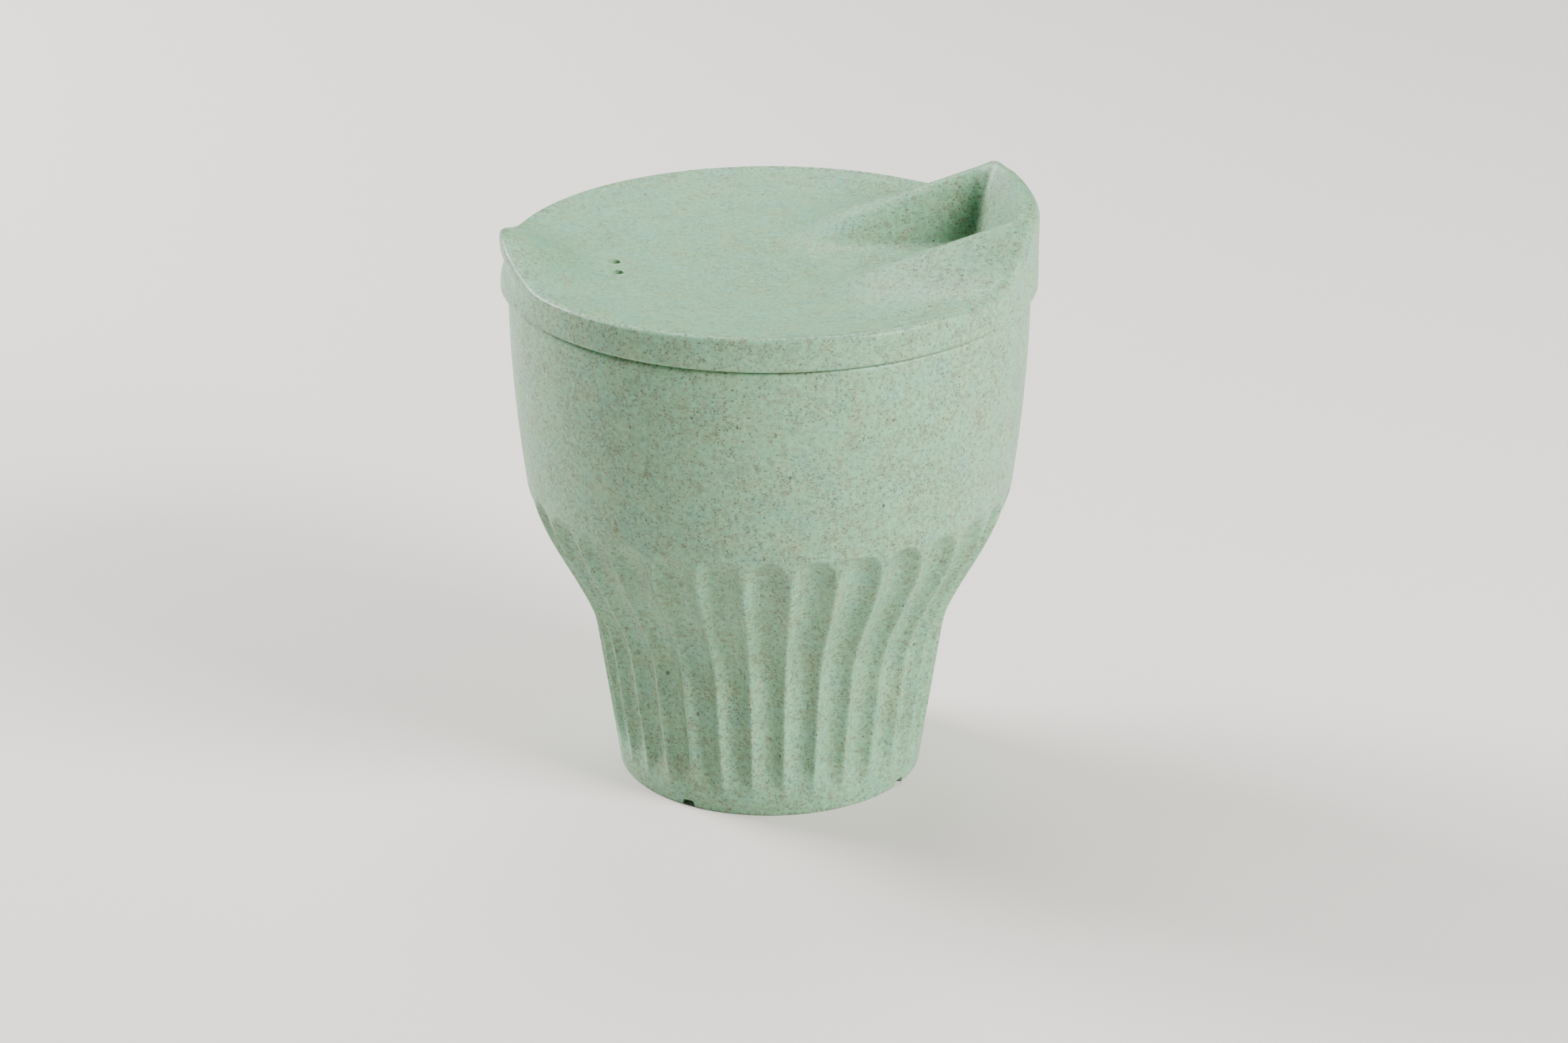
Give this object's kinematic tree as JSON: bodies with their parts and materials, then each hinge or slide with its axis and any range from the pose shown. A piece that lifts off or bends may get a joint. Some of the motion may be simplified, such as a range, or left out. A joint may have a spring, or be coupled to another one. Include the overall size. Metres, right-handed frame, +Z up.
{
  "type": "lidded drinking cup",
  "caption": "Round fluted drinking cup with a press-in sip lid, raised spout with a drinking pocket, thumb tab, vents and a soft seal ring.",
  "frame": {"origin": "middle of the foot where the cup stands, on the cup's axis", "axes": "+Z up along the cup's axis, +X towards the sip spout"},
  "size_m": [0.097, 0.0958, 0.1098],
  "materials": {
    "cup_plastic": "satin moulded plastic with fine brown and grey fibre flecks",
    "lid_plastic": "satin moulded plastic with fine brown and grey fibre flecks",
    "seal_silicone": "soft milky silicone"
  },
  "bodies": {
    "cup": {"cup": "cup_plastic"},
    "seal": {"seal_ring": "seal_silicone"},
    "lid": {"lid": "lid_plastic"}
  },
  "joints": [
    {"name": "lid_lift", "type": "slide", "parent": "cup", "child": "seal", "axis": [0, 0, 1], "range_m": [0, 0.04]},
    {"name": "lid_turn", "type": "hinge", "parent": "seal", "child": "lid", "pos_m": [0, 0, 0.09], "axis": [0, 0, 1], "continuous": true}
  ]
}
